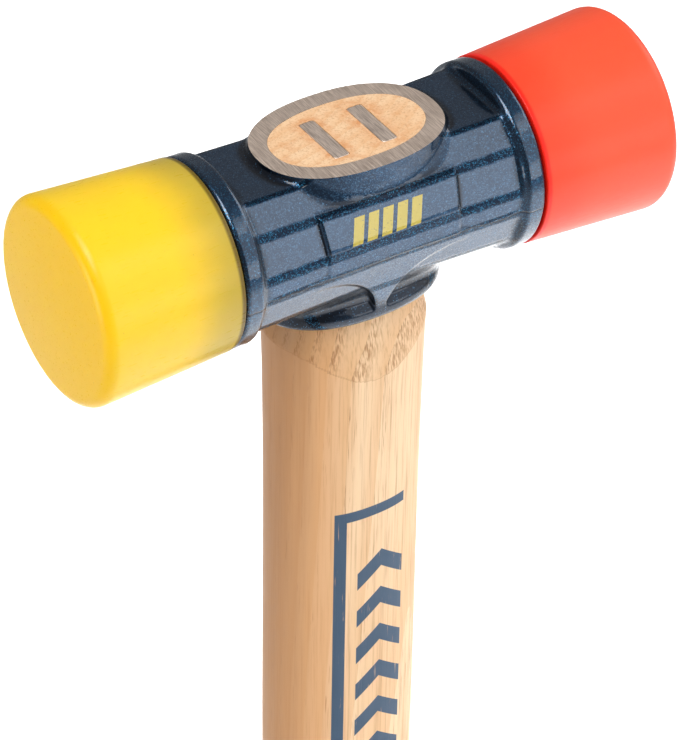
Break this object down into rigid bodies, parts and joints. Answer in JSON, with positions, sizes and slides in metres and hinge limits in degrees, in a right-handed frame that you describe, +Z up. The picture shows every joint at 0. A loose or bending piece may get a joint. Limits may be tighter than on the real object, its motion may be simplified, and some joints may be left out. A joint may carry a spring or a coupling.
{
  "type": "dead blow mallet",
  "caption": "Wooden-handled soft-face hammer with a cast head, a hard and a soft screw-on plastic tip, and loose steel shot sealed in a chamber behind each tip.",
  "frame": {"origin": "centre of the handle's butt, on the surface the hammer stands on", "axes": "+Z up the handle to the head, +X along the head towards the soft tip, -Y the flank that carries the painted mark"},
  "size_m": [0.1084, 0.035, 0.3217],
  "materials": {
    "head_paint": "gloss navy paint with metal flake, bare ground steel on top of the boss",
    "handle_wood": "satin lacquer on hickory, open end grain in the eye",
    "wedge_steel": "ground",
    "hard_plastic": "satin, slightly translucent",
    "soft_plastic": "satin",
    "insert_steel": "turned",
    "plug_steel": "pressed",
    "shot_steel": "bright"
  },
  "bodies": {
    "head_and_handle": {"head_casting": "head_paint", "handle": "handle_wood", "wedge_left": "wedge_steel", "wedge_right": "wedge_steel", "hard_side_plug": "plug_steel", "soft_side_plug": "plug_steel"},
    "hard_tip_carrier": {"hard_tip_insert": "insert_steel"},
    "hard_tip_body": {"hard_tip": "hard_plastic"},
    "soft_tip_carrier": {"soft_tip_insert": "insert_steel"},
    "soft_tip_body": {"soft_tip": "soft_plastic"},
    "hard_shot_charge": {"hard_side_shot": "shot_steel"},
    "soft_shot_charge": {"soft_side_shot": "shot_steel"}
  },
  "joints": [
    {"name": "hard_tip_travel", "type": "slide", "parent": "head_and_handle", "child": "hard_tip_carrier", "axis": [-1, 0, 0], "range_m": [0, 0.0075]},
    {"name": "hard_tip_turn", "type": "hinge", "parent": "hard_tip_carrier", "child": "hard_tip_body", "pos_m": [-0.0281, 0, 0.3042], "axis": [-1, 0, 0], "range_deg": [0, 1800]},
    {"name": "hard_shot_slide", "type": "slide", "parent": "head_and_handle", "child": "hard_shot_charge", "axis": [1, 0, 0], "range_m": [0, 0.0052]},
    {"name": "soft_tip_travel", "type": "slide", "parent": "head_and_handle", "child": "soft_tip_carrier", "axis": [1, 0, 0], "range_m": [0, 0.0075]},
    {"name": "soft_tip_turn", "type": "hinge", "parent": "soft_tip_carrier", "child": "soft_tip_body", "pos_m": [0.0281, 0, 0.3042], "axis": [1, 0, 0], "range_deg": [0, 1800]},
    {"name": "soft_shot_slide", "type": "slide", "parent": "head_and_handle", "child": "soft_shot_charge", "axis": [-1, 0, 0], "range_m": [0, 0.0052]}
  ],
  "couplings": [
    {"joint": "hard_tip_travel", "follows": "hard_tip_turn", "m_per_rad": 0.00023873},
    {"joint": "soft_tip_travel", "follows": "soft_tip_turn", "m_per_rad": 0.00023873}
  ]
}
